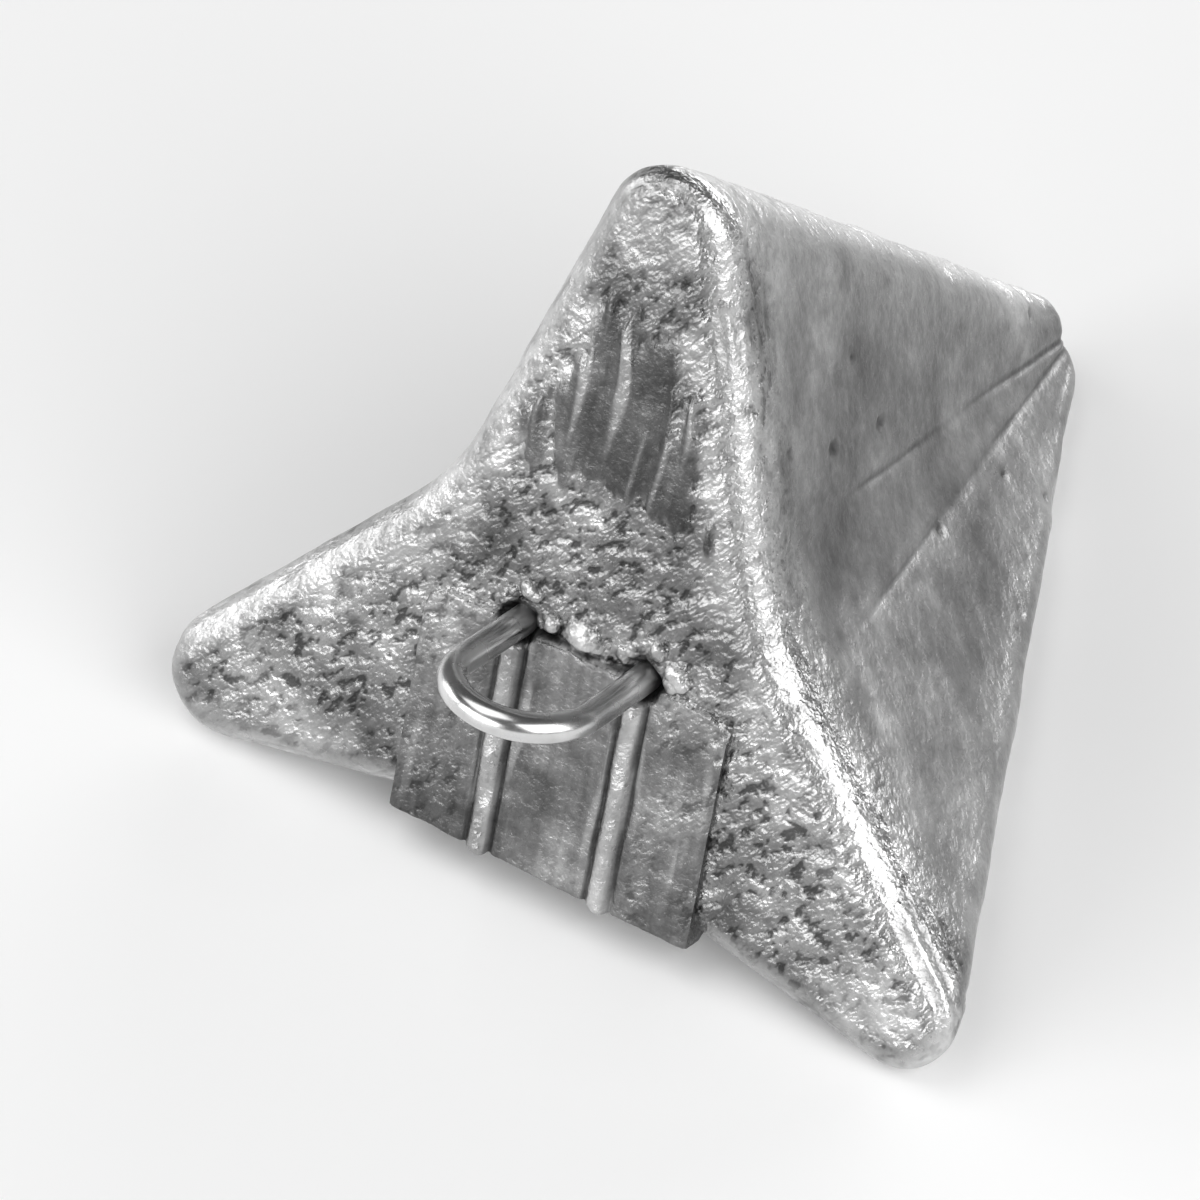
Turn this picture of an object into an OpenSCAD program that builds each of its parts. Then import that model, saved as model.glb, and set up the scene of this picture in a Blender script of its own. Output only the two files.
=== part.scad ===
// Three-sided fishing sinker: a cast lead pyramid with hollowed sides and a wire line eye cast into its base.
// It is drawn standing on its base face, tip up, with one arm towards -Y, and is then laid on its side.
// Lying, it rests on two of its ridges: the eye looks towards -Y, the tip towards +Y, the floor is at Z 0.

/* [Lead body] */
// Distance between two corners of the base face
corner_span = 39.6; // [37:0.2:45]
// Length from the base face to the tip
body_l = 37.8; // [35:0.2:43]
// Radius of each corner of the base face
corner_r = 3.2; // [2.8:0.1:3.8]
// Radius of the ridges at the tip
tip_r = 1.4; // [1.1:0.1:1.8]
// Angle that each half of a side is turned inwards
hollow_angle = 12; // [8:1:14]
// Radius of the valley down the middle of each side, at the base face
valley_r = 15; // [8:1:18]
// Radius of the rounding along the rim of the base face
rim_round = 2; // [1.2:0.1:2.4]

/* [Line eye] */
// Diameter of the wire
wire_d = 1.3; // [1.1:0.1:1.5]
// Outside width of the eye
eye_w = 7.3; // [6.8:0.1:8]
// How far the eye stands out of the base face
eye_out = 7.8; // [7:0.1:9]
// Depth that the wire reaches into the lead
anchor_depth = 9; // [7:0.5:12]
// How far each foot of the wire is bent out beyond its leg
foot_reach = 3; // [2:0.5:4]

/* [Marks of the mould] */
// Width of the patch that the holder of the wire leaves on the base face
pad_w = 14.8; // [13:0.2:16]
// Height of the patch above the base face
pad_proud = 0.3; // [0.1:0.05:0.4]
// Radius of the two half-round ribs in line with the legs
rib_r = 0.6; // [0.45:0.05:0.65]
// Height of the ribs above the patch
rib_proud = 0.3; // [0.15:0.05:0.35]
// Length of the sheared gate mark on the opposite arm
gate_l = 8; // [5:0.5:10]

/* [Hidden] */
$fn = 64;

// The ridges run from the corners almost to one point: their roundings' centres end this far from the axis
tip_reach = tip_r / 2;
// Valley radius at the tip
valley_tip_r = tip_r / 3;
// Length over which the tip is rounded off
tip_round = 1.2 * tip_r;
// Distance of the corner roundings' centres from the axis, at the base face
corner_reach = corner_span / sqrt(3) - corner_r;

// Steps along the rim rounding, the straight ridges and the tip, and along each ridge arc and valley arc
rim_steps = 6;
side_steps = 8;
tip_steps = 6;
ridge_steps = 14;
valley_steps = 8;

wire_r = wire_d / 2;
// Distance of each leg's centre line from the axis, which is also the crown's radius
leg_x = (eye_w - wire_d) / 2;
// Height of the crown's centre above the base face
crown_h = eye_out - wire_r - leg_x;
// Centre line radius of the bends inside the lead
foot_bend = wire_d;
// Depth at which the legs start to bend
leg_depth = anchor_depth - wire_r - foot_bend;

// Overrun of cuts past a face
cut = 0.2;
// Share of the rim's first step that is cast past the base face and then cut off flat
rim_over_share = 0.3;
// Shallow pit round each leg, where the lead has drawn back from the wire
pit_r = 1.7 * wire_r;
pit_depth = wire_r;
// Drop of lead between the legs
lump_r = 2.5 * wire_r;
lump_proud = pad_proud + 0.2 * wire_r;
// Radius of the patch's two inner corners
pad_corner_r = 1.5;
// Thickness of the patch's lip over the side, and height at which the slope under it meets the valley
lip_t = 0.8;
lip_end = 5 * lip_t;
// Height of the sheared gate mark above the base face, and its clearance from the face's edges and the eye
gate_proud = pad_proud / 2;
gate_margin = 1;
gate_start = 2.5 * leg_x;

function mix(a, b, t) = a + (b - a) * t;
function turn(angle) = [cos(angle), sin(angle)];

// Sizes of a cross-section at height z: reach of the ridge centres, ridge radius and valley radius
function reach_at(z) = mix(corner_reach, tip_reach, z / body_l);
function ridge_at(z) = mix(corner_r, tip_r, z / body_l);
function valley_at(z) = mix(valley_r, valley_tip_r, z / body_l);

// Distance from the axis to the line of one half of a side
function side_line(reach, ridge) = ridge + reach * cos(60 + hollow_angle);

// Distance from the axis to the centre of the valley's rounding, which lies outside the section
function valley_centre(reach, ridge, valley) = (side_line(reach, ridge) + valley) / cos(hollow_angle);

// Distance from the axis to the bottom of the valley at height z
function valley_floor_at(z) =
    valley_centre(reach_at(z), ridge_at(z), valley_at(z)) - valley_at(z);

// A section is three arms, each ended by a ridge arc, with a valley arc after each
function section(reach, ridge, valley, z) = [
    for (arm = [-90, 30, 150]) each concat(
        [for (i = [0:ridge_steps])
            let (a = arm + (60 + hollow_angle) * (2 * i / ridge_steps - 1))
            concat(reach * turn(arm) + ridge * turn(a), z)],
        [for (i = [0:valley_steps])
            let (a = arm + 60 + hollow_angle * (1 - 2 * i / valley_steps))
            concat(valley_centre(reach, ridge, valley) * turn(arm + 60) - valley * turn(a), z)]
    )
];

// The rim rounding insets the section, and the tip rounding shrinks it towards the axis
function inset_section(z, inset, shrink) =
    section(reach_at(z) * shrink, ridge_at(z) * shrink - inset, valley_at(z) * shrink + inset, z);

function rim_station(a) = [rim_round * (1 - cos(a)), rim_round * (1 - sin(a)), 1];

stations = concat(
    [mix(rim_station(90 / rim_steps), rim_station(0), 1 + rim_over_share)],
    [for (i = [1:rim_steps]) rim_station(90 * i / rim_steps)],
    [for (i = [1:side_steps]) [mix(rim_round, body_l - tip_round, i / side_steps), 0, 1]],
    [for (i = [1:tip_steps - 1])
        let (a = 90 * i / tip_steps)
        [body_l - tip_round * (1 - sin(a)), 0, cos(a)]]
);
rings = [for (s = stations) inset_section(s[0], s[1], s[2])];
ring_n = len(rings[0]);
shell_points = concat([for (r = rings) each r], [[0, 0, body_l]]);

// Seen from the side, the two lower ridges are one straight line. Its distances from the axis at the base
// face and at the tip set the angle at which the body lies, and the first one sets the height of the axis
low_side_base = corner_reach / 2 + corner_r;
low_side_tip = tip_reach / 2 + tip_r;
lie_angle = atan((low_side_base - low_side_tip) / body_l);
lie_height = low_side_base * cos(lie_angle);

// Where a drawn point comes to lie along Y, and the shift that centres the whole length
function lying_y(p) = p[2] * cos(lie_angle) - p[1] * sin(lie_angle);
eye_end_y = -(eye_out - wire_r) * cos(lie_angle) - wire_r;
tip_end_y = max([for (p = shell_points) lying_y(p)]);
lie_shift = -(eye_end_y + tip_end_y) / 2;

// Edge of the patch: it meets the side's outline at the patch's own corners and bridges the valley
pad_edge = side_line(corner_reach, corner_r) / cos(hollow_angle) + pad_w / 2 * tan(hollow_angle);

// Half width of an arm's flat face at a distance y from the axis, inside the rim rounding
function arm_half(y) =
    ((corner_r - rim_round) + (corner_reach - y) * sin(30 - hollow_angle)) / cos(30 - hollow_angle);

// Lays the standing shape on two of its ridges
module lie() {
    translate([0, lie_shift, lie_height])
        rotate([-(90 + lie_angle), 0, 0])
            children();
}

// Cast pyramid: rings of points from base to tip, joined by triangles, with the base face cut flat
module shell() {
    last = len(rings) - 1;
    tip = len(shell_points) - 1;
    difference() {
        polyhedron(
            points = shell_points,
            faces = concat(
                [[for (i = [0:ring_n - 1]) i]],
                [for (j = [0:last - 1], i = [0:ring_n - 1])
                    let (a = j * ring_n, b = a + ring_n, k = (i + 1) % ring_n)
                    each [[a + i, b + i, b + k], [a + i, b + k, a + k]]],
                [for (i = [0:ring_n - 1])
                    [last * ring_n + i, tip, last * ring_n + (i + 1) % ring_n]]
            )
        );
        translate([-corner_span, -corner_span, -corner_span])
            cube([2 * corner_span, 2 * corner_span, corner_span]);
    }
}

// Patch left by the holder of the wire, with rounded inner corners, a lip over the valley and two ribs
module pad() {
    translate([0, 0, -pad_proud])
        linear_extrude(pad_proud + lip_t) {
            translate([-pad_w / 2 + pad_corner_r, 0])
                square([pad_w - 2 * pad_corner_r, 2 * pad_corner_r]);
            for (side = [-1, 1])
                translate([side * (pad_w / 2 - pad_corner_r), pad_corner_r])
                    circle(pad_corner_r);
        }
    rotate([90, 0, 90])
        linear_extrude(pad_w, center = true)
            polygon([
                [pad_corner_r, -pad_proud],
                [pad_edge, -pad_proud],
                [pad_edge, lip_t],
                [valley_floor_at(lip_end) - cut, lip_end],
                [pad_corner_r, lip_end]
            ]);
    for (side = [-1, 1])
        translate([side * leg_x, 0, rib_r - rib_proud - pad_proud])
            rotate([-90, 0, 0])
                cylinder(h = pad_edge, r = rib_r);
}

// Mark of the sheared gate on the arm opposite the patch
module gate() {
    near = gate_start;
    far = gate_start + gate_l;
    near_half = arm_half(near) - gate_margin;
    far_half = arm_half(far) - gate_margin;
    translate([0, 0, -gate_proud])
        linear_extrude(gate_proud + cut)
            polygon([
                [-near_half, -near],
                [near_half, -near],
                [far_half, -far],
                [-far_half, -far]
            ]);
}

// Wire from foot to foot: round crown, two straight legs, and feet bent outwards as an anchor
module wire() {
    translate([0, 0, -crown_h])
        rotate([-90, 0, 0])
            rotate_extrude(angle = 180)
                translate([leg_x, 0])
                    circle(wire_r);
    for (side = [0, 1])
        mirror([side, 0, 0]) {
            translate([leg_x, 0, -crown_h])
                cylinder(h = crown_h + leg_depth, r = wire_r);
            translate([leg_x + foot_bend, 0, leg_depth])
                rotate([90, 0, 0])
                    rotate([0, 0, 90])
                        rotate_extrude(angle = 90)
                            translate([foot_bend, 0])
                                circle(wire_r);
            translate([leg_x + foot_bend, 0, leg_depth + foot_bend])
                rotate([0, 90, 0])
                    cylinder(h = foot_reach - foot_bend, r = wire_r);
        }
}

module lead_body() {
    color("#8c8e91")
        lie()
            difference() {
                union() {
                    shell();
                    pad();
                    gate();
                    translate([0, 0, lump_r - lump_proud])
                        sphere(lump_r);
                }
                wire();
                for (side = [-1, 1])
                    translate([side * leg_x, 0, -pad_proud - rib_proud - cut])
                        cylinder(h = pad_proud + rib_proud + cut + pit_depth, r1 = pit_r, r2 = wire_r);
            }
}

module wire_eye() {
    color("#c6c8ca")
        lie()
            wire();
}

lead_body();
wire_eye();
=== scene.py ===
# %% [markdown]
# # A cast pyramid sinker
#
# The sinker is two pieces: a casting of lead, and a wire eye that the lead was poured round. The packed
# CAD model gives both at their real size, lying on two ridges. Here each piece gets the surface that the
# real one has: grain from the mould, the marks of the pour, and wear on the ridges.

import bpy
import numpy as np
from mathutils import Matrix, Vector


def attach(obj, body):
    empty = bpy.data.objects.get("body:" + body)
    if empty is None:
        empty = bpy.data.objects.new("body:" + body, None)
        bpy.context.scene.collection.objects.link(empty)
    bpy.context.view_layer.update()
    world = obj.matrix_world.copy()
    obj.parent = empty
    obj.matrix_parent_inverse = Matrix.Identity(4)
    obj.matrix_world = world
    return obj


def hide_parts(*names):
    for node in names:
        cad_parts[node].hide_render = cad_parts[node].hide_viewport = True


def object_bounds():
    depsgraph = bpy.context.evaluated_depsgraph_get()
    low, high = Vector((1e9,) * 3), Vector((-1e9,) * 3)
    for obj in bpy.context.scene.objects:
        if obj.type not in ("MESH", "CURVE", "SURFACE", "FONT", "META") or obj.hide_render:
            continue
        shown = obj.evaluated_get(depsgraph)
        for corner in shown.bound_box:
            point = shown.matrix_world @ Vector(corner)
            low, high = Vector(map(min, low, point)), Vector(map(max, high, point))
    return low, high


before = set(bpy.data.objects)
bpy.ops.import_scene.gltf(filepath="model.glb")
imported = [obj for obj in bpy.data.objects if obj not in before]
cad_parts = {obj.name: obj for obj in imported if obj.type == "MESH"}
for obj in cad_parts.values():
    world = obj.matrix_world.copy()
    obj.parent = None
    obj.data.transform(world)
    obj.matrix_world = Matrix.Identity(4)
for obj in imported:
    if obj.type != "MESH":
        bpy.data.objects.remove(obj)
cad_low, cad_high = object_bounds()
MM = 0.001
print("CAD box in mm:", [round(v / MM, 2) for v in (*cad_low, *cad_high)])

# %% [markdown]
# ## Sizes
#
# The casting is drawn standing on its base face, with Z going into the lead, and laid down at the end.
# These are the CAD model's driving sizes. Its ridges run straight from the corners of the base almost to
# one point, so a cross-section at any depth follows from the sizes at its two ends. A reach is the way
# from the axis to the centre of a ridge arc, and HOLLOW is how far each flank leans in from a flat side.
# The pad is the patch that the wire's holder left, and the lip is where it goes on down the side.

# %% Sizes of the casting
CORNER_SPAN = 39.6 * MM
BODY_L = 37.8 * MM
CORNER_R = 3.2 * MM
TIP_R = 1.4 * MM
HOLLOW = np.radians(12)
VALLEY_R = 15 * MM
RIM_ROUND = 2 * MM
TIP_ROUND = 1.2 * TIP_R
CORNER_REACH = CORNER_SPAN / np.sqrt(3) - CORNER_R
TIP_REACH = TIP_R / 2
VALLEY_TIP_R = TIP_R / 3
print("base", round(CORNER_SPAN / MM, 1), "mm across, body", round(BODY_L / MM, 1), "mm long")

# %% Sizes of the wire and of the marks round it
WIRE_R = 0.65 * MM
LEG_X = 3 * MM
EYE_OUT = 7.8 * MM
CROWN_H = EYE_OUT - WIRE_R - LEG_X
ANCHOR_DEPTH = 9 * MM
FOOT_REACH = 3 * MM
FOOT_BEND = 2 * WIRE_R
PAD_W = 14.8 * MM
PAD_PROUD = 0.3 * MM
PAD_CORNER_R = 1.5 * MM
RIB_R = 0.6 * MM
RIB_PROUD = 0.3 * MM
LIP_T = 0.8 * MM
LIP_END = 5 * LIP_T
LIP_SUNK = 0.2 * MM
PIT_R = 1.7 * WIRE_R
GATE_START = 2.5 * LEG_X
GATE_L = 8 * MM
GATE_PROUD = PAD_PROUD / 2
print("wire", round(2 * WIRE_R / MM, 2), "mm thick, eye", round(EYE_OUT / MM, 2), "mm out of the base")

# %% [markdown]
# ## Laying the casting down
#
# Seen from the side, the two lower ridges are one straight line. Its slope is the angle at which the body
# lies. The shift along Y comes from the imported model, whose eye reaches the low end of the box.

# %% From the standing shape to the lying one
low_side_base = CORNER_REACH / 2 + CORNER_R
low_side_tip = TIP_REACH / 2 + TIP_R
LIE_ANGLE = np.arctan((low_side_base - low_side_tip) / BODY_L)
LIE_HEIGHT = low_side_base * np.cos(LIE_ANGLE)
LIE_SHIFT = cad_low[1] + (EYE_OUT - WIRE_R) * np.cos(LIE_ANGLE) + WIRE_R


def laid(points):
    """Turns standing points about X by a quarter turn and the lying angle, and moves them into the frame."""
    x, y, z = np.moveaxis(points, -1, 0)
    cos, sin = np.cos(LIE_ANGLE), np.sin(LIE_ANGLE)
    return np.stack([x, z * cos - y * sin + LIE_SHIFT, LIE_HEIGHT - y * cos - z * sin], axis=-1)


def laid_in_box(points):
    """Standing points laid down, and kept inside the CAD model's box."""
    return np.clip(laid(points), np.array(cad_low), np.array(cad_high))


print("lies at", round(float(np.degrees(LIE_ANGLE)), 2), "degrees")

# %% [markdown]
# ## Noise
#
# Cast metal is never even, and its unevenness has known kinds: soft swells, creases between rounded
# grains, and separate pits. A sculptor would press them in by hand. Here they are functions of the place:
# soft swells are gradient noise, creases come from folding that noise at zero, and pits and beads come
# from random points. Each pattern is seeded by its own name, so it never changes.

# %% Helpers for steps and prints
LATTICE = 256


def ramp(value, low, high):
    """A smooth step, from 0 at low to 1 at high."""
    share = np.clip((value - low) / (high - low), 0, 1)
    return share * share * (3 - 2 * share)


def print_range(name, heights):
    """Prints the lowest and the highest of an array of heights, in millimetres."""
    print(name, "from", round(float(heights.min() / MM), 3), "to", round(float(heights.max() / MM), 3), "mm")


def lattice_pick(shuffle, at):
    """A number for each lattice corner: its three coordinates, looked up in turn in one shuffled list. The
    coordinates wrap round after 256."""
    a, b, c = np.moveaxis(at & (LATTICE - 1), -1, 0)
    return shuffle[(shuffle[(shuffle[a] + b) & (LATTICE - 1)] + c) & (LATTICE - 1)]


# %% Noise and spots
def soft_noise(points, cell, name):
    """Gradient noise, about -1 to 1: each lattice corner has a random direction, and a point adds up how far
    it lies along the directions of its cell's eight corners, each weighted by smooth steps."""
    rng = np.random.default_rng(list(name.encode()))
    shuffle = rng.permutation(LATTICE)
    directions = rng.normal(size=(LATTICE, 3))
    directions /= np.linalg.norm(directions, axis=1, keepdims=True)
    scaled = points / np.asarray(cell)
    corner = np.floor(scaled).astype(int)
    inside = scaled - corner
    weight = inside ** 3 * (inside * (6 * inside - 15) + 10)
    total = np.zeros(points.shape[:-1])
    for step in np.ndindex(2, 2, 2):
        pick = lattice_pick(shuffle, corner + step)
        along = ((inside - step) * directions[pick]).sum(axis=-1)
        total += along * np.where(np.array(step) == 1, weight, 1 - weight).prod(axis=-1)
    return 1.5 * total


def layered_noise(points, cell, name, layers=2):
    """Soft noise in layers, each half the size and half the height of the one before."""
    cell = np.asarray(cell, dtype=float)
    return sum(soft_noise(points, cell / 2 ** k, f"{name} {k}") / 2 ** k for k in range(layers))


def nearest_spots(points, cell, name):
    """Distance to the nearest of random spots, one in each lattice cell, and that spot's random number.
    The distance is a share of the cell."""
    rng = np.random.default_rng(list(name.encode()))
    shuffle = rng.permutation(LATTICE)
    spots = rng.random((LATTICE, 4))
    scaled = points / cell
    corner = np.floor(scaled).astype(int)
    best = np.full(points.shape[:-1], np.inf)
    number = np.zeros(points.shape[:-1])
    for step in np.ndindex(3, 3, 3):
        at = corner + step - 1
        pick = lattice_pick(shuffle, at)
        gap = np.linalg.norm(at + spots[pick][..., :3] - scaled, axis=-1)
        closer = gap < best
        best = np.where(closer, gap, best)
        number = np.where(closer, spots[pick][..., 3], number)
    return best, number


# %% [markdown]
# ## The casting as a grid
#
# The surface is a grid that starts at the middle of the base face, spreads to the rim, turns over it, and
# runs up the sides to the tip. A row is a closed ring: three arms, each ended by a ridge arc, with a
# straight flank on each side of it and a valley arc between two flanks. Solids cut from each other would
# give the shape too, but a grid has even points to press marks into, and its columns keep to the same
# feature all the way up, so the ridges and valleys stay crisp.

# %% Columns of the grid
ARMS = np.radians([-90, 30, 150])
RIDGE_COLUMNS = 52
FLANK_COLUMNS = 48
VALLEY_COLUMNS = 28
RIDGE_SWING = np.pi / 3 + HOLLOW


def turn(angle):
    """The unit vector at an angle from X towards Y."""
    return np.stack([np.cos(angle), np.sin(angle)], axis=-1)


def valley_centre(reach, ridge, valley):
    """Distance from the axis to a valley arc's centre, which lies outside the body. From there the flanks,
    which touch both arcs, are as far away as the valley's radius."""
    return (ridge + reach * np.cos(RIDGE_SWING) + valley) / np.cos(HOLLOW)


def rings(reach, ridge, valley):
    """One ring of columns for each entry: a ridge arc round the end of each arm, a valley arc round a centre
    outside the body, and the two arcs' common tangents as flanks."""
    reach, ridge, valley = (np.asarray(v, dtype=float)[:, None, None] for v in (reach, ridge, valley))
    centre = valley_centre(reach, ridge, valley)
    along = np.linspace(0, 1, FLANK_COLUMNS + 2)[1:-1, None]
    parts = []
    for arm in ARMS:
        middle, next_arm = arm + np.pi / 3, arm + 2 * np.pi / 3
        ridge_swing = np.linspace(-RIDGE_SWING, RIDGE_SWING, RIDGE_COLUMNS)
        valley_swing = np.linspace(HOLLOW, -HOLLOW, VALLEY_COLUMNS)
        ridge_arc = reach * turn(arm) + ridge * turn(arm + ridge_swing)
        valley_arc = centre * turn(middle) - valley * turn(middle + valley_swing)
        next_start = reach * turn(next_arm) + ridge * turn(next_arm - RIDGE_SWING)
        parts += [
            ridge_arc,
            ridge_arc[:, -1:] + (valley_arc[:, :1] - ridge_arc[:, -1:]) * along,
            valley_arc,
            valley_arc[:, -1:] + (next_start - valley_arc[:, -1:]) * along,
        ]
    return np.concatenate(parts, axis=1)


# %% [markdown]
# Each column also knows what it runs along. On a ridge it is 0 on the crest and 1 at the arc's ends. In a
# valley it is 0 in the middle and -1 or 1 at the edges. On a flank it goes from 0 at the valley to 1 at the
# ridge. The wear and the mould marks are steered by these.

# %% What each column runs along
OFF = 2.0
outward = np.linspace(0, 1, FLANK_COLUMNS + 2)[1:-1]
crest_at = np.tile(np.concatenate(
    [np.abs(np.linspace(-1, 1, RIDGE_COLUMNS)), np.full(2 * FLANK_COLUMNS + VALLEY_COLUMNS, OFF)]
), 3)
valley_at = np.tile(np.concatenate([
    np.full(RIDGE_COLUMNS + FLANK_COLUMNS, OFF),
    np.linspace(-1, 1, VALLEY_COLUMNS),
    np.full(FLANK_COLUMNS, OFF),
]), 3)
flank_at = np.tile(np.concatenate(
    [np.ones(RIDGE_COLUMNS), outward[::-1], np.zeros(VALLEY_COLUMNS), outward]
), 3)
columns = len(crest_at)
print(columns, "columns a row")

# %% Rows of the grid
BASE_ROWS = 96
RIM_ROWS = 20
LOW_SIDE_ROWS = 60
HIGH_SIDE_ROWS = 76
TIP_ROWS = 10
HALVING_SHARE = 0.47

base_share = np.linspace(0, 1, BASE_ROWS + 1)[1:]
rim_angle = np.linspace(0, np.pi / 2, RIM_ROWS + 1)[1:]
side_end = BODY_L - TIP_ROUND
side_middle = RIM_ROUND + HALVING_SHARE * (side_end - RIM_ROUND)
side_z = np.concatenate([
    np.linspace(RIM_ROUND, side_middle, LOW_SIDE_ROWS + 1)[1:],
    np.linspace(side_middle, side_end, HIGH_SIDE_ROWS + 1)[1:],
])
tip_angle = np.linspace(0, np.pi / 2, TIP_ROWS + 1)[1:-1]

row_z = np.concatenate([
    np.zeros(BASE_ROWS),
    RIM_ROUND * (1 - np.cos(rim_angle)),
    side_z,
    side_end + TIP_ROUND * np.sin(tip_angle),
])
row_inset = np.concatenate([
    np.full(BASE_ROWS, RIM_ROUND),
    RIM_ROUND * (1 - np.sin(rim_angle)),
    np.zeros(len(side_z) + len(tip_angle)),
])
row_shrink = np.concatenate([np.ones(BASE_ROWS + RIM_ROWS + len(side_z)), np.cos(tip_angle)])
row_scale = np.concatenate([base_share, np.ones(RIM_ROWS + len(side_z) + len(tip_angle))])
first_rim, first_side = BASE_ROWS, BASE_ROWS + RIM_ROWS
first_tip = first_side + len(side_z)


def sizes_at(z):
    """Reach, ridge radius and valley radius at depth z. Each changes evenly from the base to the tip."""
    ends = (CORNER_REACH, TIP_REACH), (CORNER_R, TIP_R), (VALLEY_R, VALLEY_TIP_R)
    return [at_base + (at_tip - at_base) * z / BODY_L for at_base, at_tip in ends]


row_reach, row_ridge, row_valley = sizes_at(row_z)
row_arcs = row_ridge * row_shrink - row_inset, row_valley * row_shrink + row_inset
outline = rings(row_reach * row_shrink, *row_arcs)
outline *= row_scale[:, None, None]
body = np.concatenate([outline, np.broadcast_to(row_z[:, None, None], (*outline.shape[:2], 1))], axis=2)
print(len(row_z), "rows, so", len(row_z) * columns, "points before thinning")

# %% [markdown]
# ## Marks of the mould on the base face
#
# The wire was held in the mould by a small block. It left a patch on the base face, a little proud, with
# rounded inner corners. Its two grooves for the wire left two ribs in line with the legs. Where block and
# mould met, a ragged seam runs between the legs, with beads of lead that squeezed into the gap. On the
# opposite arm the gate was sheared off, which left streaks. All of these are heights above the base face.

# %% The patch
PATCH_STEP = 0.14 * MM
PATCH_WOBBLE = 0.12 * MM
PATCH_WOBBLE_CELL = 1.6 * MM
PATCH_CALM_Y = 2 * MM


def flat_points(x, y):
    """Points of the base plane, for noise."""
    return np.stack([x, y, np.zeros_like(x)], axis=-1)


def patch_share(x, y):
    """1 on the patch and 0 off it, by the distance to a rectangle with rounded inner corners. Its border is
    more ragged near the seam."""
    past_x = np.abs(x) - (PAD_W / 2 + PATCH_STEP - PAD_CORNER_R)
    past_y = PAD_CORNER_R - y
    corner = np.hypot(np.maximum(past_x, 0), np.maximum(past_y, 0))
    gap = corner + np.minimum(np.maximum(past_x, past_y), 0) - PAD_CORNER_R
    wobble = PATCH_WOBBLE * (1 - 0.5 * ramp(y, 0, PATCH_CALM_Y))
    gap = gap + wobble * layered_noise(flat_points(x, y), PATCH_WOBBLE_CELL, "patch edge")
    return 1 - ramp(gap, -PATCH_STEP / 2, PATCH_STEP / 2)


# %% The two ribs
RIB_BEND = 0.06 * MM
RIB_BEND_CELL = 2.5 * MM
RIB_FULLNESS = 0.82
RIB_UNEVEN = 0.3
RIB_UNEVEN_CELL = 1.8 * MM
RIB_GROOVE = 0.08 * MM
RIB_GROOVE_W = 0.11 * MM
RIB_GROOVE_X = 1.05 * RIB_R


def rib_height(x, y):
    """Two half-round ribs above the patch, each with a thin groove along both sides."""
    points = flat_points(x, y)
    across = np.abs(np.abs(x) - LEG_X + RIB_BEND * soft_noise(points, RIB_BEND_CELL, "rib line"))
    fullness = RIB_FULLNESS + RIB_UNEVEN * layered_noise(points, RIB_UNEVEN_CELL, "rib height")
    top = np.sqrt(np.maximum(RIB_R ** 2 - across ** 2, 0)) - (RIB_R - RIB_PROUD)
    groove = np.exp(-((across - RIB_GROOVE_X) / RIB_GROOVE_W) ** 2)
    start = ramp(y, PIT_R / 2, PIT_R)
    return start * (np.maximum(top, 0) * fullness - RIB_GROOVE * groove)


# %% The seam between the legs
SEAM_DEPTH = 0.4 * MM
SEAM_W = 0.16 * MM
SEAM_HALF_L = 4.4 * MM
SEAM_BEND = 0.3 * MM
SEAM_BEND_CELL = 1.3 * MM
SEAM_CHANGE_CELL = 0.8 * MM


def seam_height(x, y):
    """A ragged groove along the line between the legs, which fades past them."""
    points = flat_points(x, y)
    along = points * [1, 0, 0]
    line = y - SEAM_BEND * layered_noise(along, SEAM_BEND_CELL, "seam line")
    width = SEAM_W * (1 + 0.6 * soft_noise(along, SEAM_CHANGE_CELL, "seam width"))
    depth = SEAM_DEPTH * (0.75 + 0.5 * soft_noise(points, SEAM_CHANGE_CELL, "seam depth"))
    return -depth * np.exp(-(line / width) ** 2) * (1 - ramp(np.abs(x), 0.8 * SEAM_HALF_L, SEAM_HALF_L))


# %% Beads beside the seam
BEADS = 34
BEAD_R = (0.15 * MM, 0.48 * MM)
BEAD_X = 1.1 * SEAM_HALF_L
BEAD_Y = -0.6 * MM
BEAD_SPREAD = 0.5 * MM
BEAD_SQUEEZE = (0.7, 1.4)
BEAD_PROUD = 0.65


def bead_height(x, y):
    """Round beads beside the seam: each is a cap of random size at a random place near the line."""
    rng = np.random.default_rng(list(b"beads"))
    total = np.zeros_like(x)
    for _ in range(BEADS):
        middle_x = rng.uniform(-BEAD_X, BEAD_X)
        middle_y = rng.normal(BEAD_Y, BEAD_SPREAD)
        radius = rng.uniform(*BEAD_R)
        squeeze = rng.uniform(*BEAD_SQUEEZE)
        gap = np.hypot((x - middle_x) * squeeze, y - middle_y) / radius
        total = np.maximum(total, BEAD_PROUD * radius * np.sqrt(np.maximum(1 - gap ** 2, 0)))
    return total


# %% The pits round the legs and the lump between them
PIT_DEPTH = WIRE_R
PIT_EDGE_CELL = 0.9 * MM
LUMP_R = 2.5 * WIRE_R
LUMP_PROUD = PAD_PROUD + 0.2 * WIRE_R
LUMP_Y = -0.35 * MM
LUMP_CELL = 1.2 * MM


def pit_height(x, y):
    """A cone-shaped pit round each leg, with an uneven edge."""
    gap = np.hypot(np.abs(x) - LEG_X, y)
    edge = PIT_R * (1 + 0.3 * soft_noise(flat_points(x, y), PIT_EDGE_CELL, "pit edge"))
    return -PIT_DEPTH * (1 - ramp(gap, 0.6 * WIRE_R, edge))


def lump_height(x, y):
    """A flat drop between the legs: the cap of a ball, made uneven."""
    gap = np.hypot(x, y - LUMP_Y) * (1 + 0.25 * layered_noise(flat_points(x, y), LUMP_CELL, "lump"))
    return np.maximum(np.sqrt(np.maximum(LUMP_R ** 2 - gap ** 2, 0)) - (LUMP_R - LUMP_PROUD), 0)


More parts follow.
